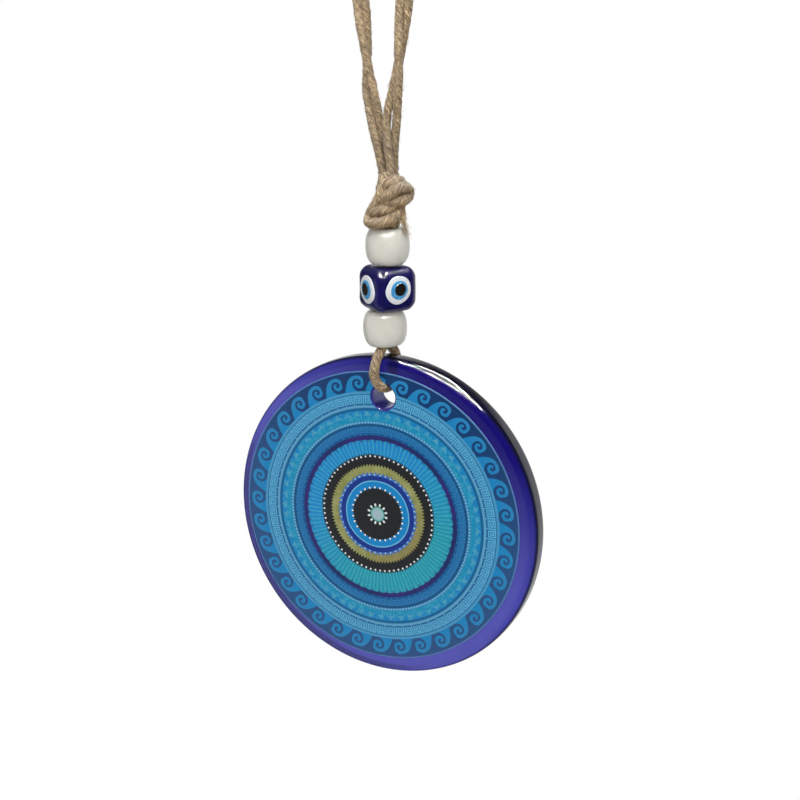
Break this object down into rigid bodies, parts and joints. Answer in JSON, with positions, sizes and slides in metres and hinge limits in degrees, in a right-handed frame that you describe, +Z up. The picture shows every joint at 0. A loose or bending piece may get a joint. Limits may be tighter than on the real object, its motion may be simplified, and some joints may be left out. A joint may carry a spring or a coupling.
{
  "type": "evil eye hanging ornament",
  "caption": "Round cobalt glass pendant with a printed mandala face, hung on a knotted jute cord with white beads and a cube bead carrying eye dots.",
  "frame": {"origin": "centre of the glass disc's flat back face", "axes": "+Z up along the hanging cord, the printed face looks along -Y, +X to the right of someone facing the print"},
  "size_m": [0.093, 0.016, 0.2446],
  "materials": {
    "cobalt_glass": "polished",
    "printed_film": "gloss print",
    "white_glaze": "gloss",
    "cube_glass": "fire polished",
    "eye_white": "fire polished",
    "eye_iris": "fire polished",
    "eye_pupil": "fire polished",
    "jute": "natural jute"
  },
  "bodies": {
    "hanging_loop": {"hanging_loop_front": "jute", "hanging_loop_rear": "jute"},
    "pendant": {"knot": "jute", "cord_tail": "jute", "bead_cord_front": "jute", "bead_cord_rear": "jute"},
    "upper_bead": {"upper_bead": "white_glaze"},
    "cube_bead": {"cube_bead": "cube_glass", "eye_white_front": "eye_white", "eye_white_right": "eye_white", "eye_white_back": "eye_white", "eye_white_left": "eye_white", "eye_iris_front": "eye_iris", "eye_iris_right": "eye_iris", "eye_iris_back": "eye_iris", "eye_iris_left": "eye_iris", "eye_pupil_front": "eye_pupil", "eye_pupil_right": "eye_pupil", "eye_pupil_back": "eye_pupil", "eye_pupil_left": "eye_pupil"},
    "lower_bead": {"lower_bead": "white_glaze"},
    "bight": {"disc_cord": "jute"},
    "disc": {"glass_disc": "cobalt_glass", "printed_face": "printed_film"}
  },
  "joints": [
    {"name": "pendant_turn", "type": "hinge", "parent": "hanging_loop", "child": "pendant", "pos_m": [0, -0.00375, 0.0966], "axis": [0, 0, 1], "range_deg": [-60, 60], "stiffness_Nm_per_rad": 0.0005},
    {"name": "upper_bead_spin", "type": "hinge", "parent": "pendant", "child": "upper_bead", "pos_m": [0, -0.00375, 0.07735], "axis": [0, 0, 1], "continuous": true},
    {"name": "cube_bead_spin", "type": "hinge", "parent": "pendant", "child": "cube_bead", "pos_m": [0, -0.00375, 0.06615], "axis": [0, 0, 1], "continuous": true},
    {"name": "lower_bead_spin", "type": "hinge", "parent": "pendant", "child": "lower_bead", "pos_m": [0, -0.00375, 0.05465], "axis": [0, 0, 1], "continuous": true},
    {"name": "bight_tilt", "type": "hinge", "parent": "pendant", "child": "bight", "pos_m": [0, -0.00375, 0.0499], "axis": [1, 0, 0], "range_deg": [-9, 9]},
    {"name": "disc_swing", "type": "hinge", "parent": "bight", "child": "disc", "pos_m": [0, -0.00375, 0.0378], "axis": [0, 1, 0], "range_deg": [-20, 20]}
  ]
}
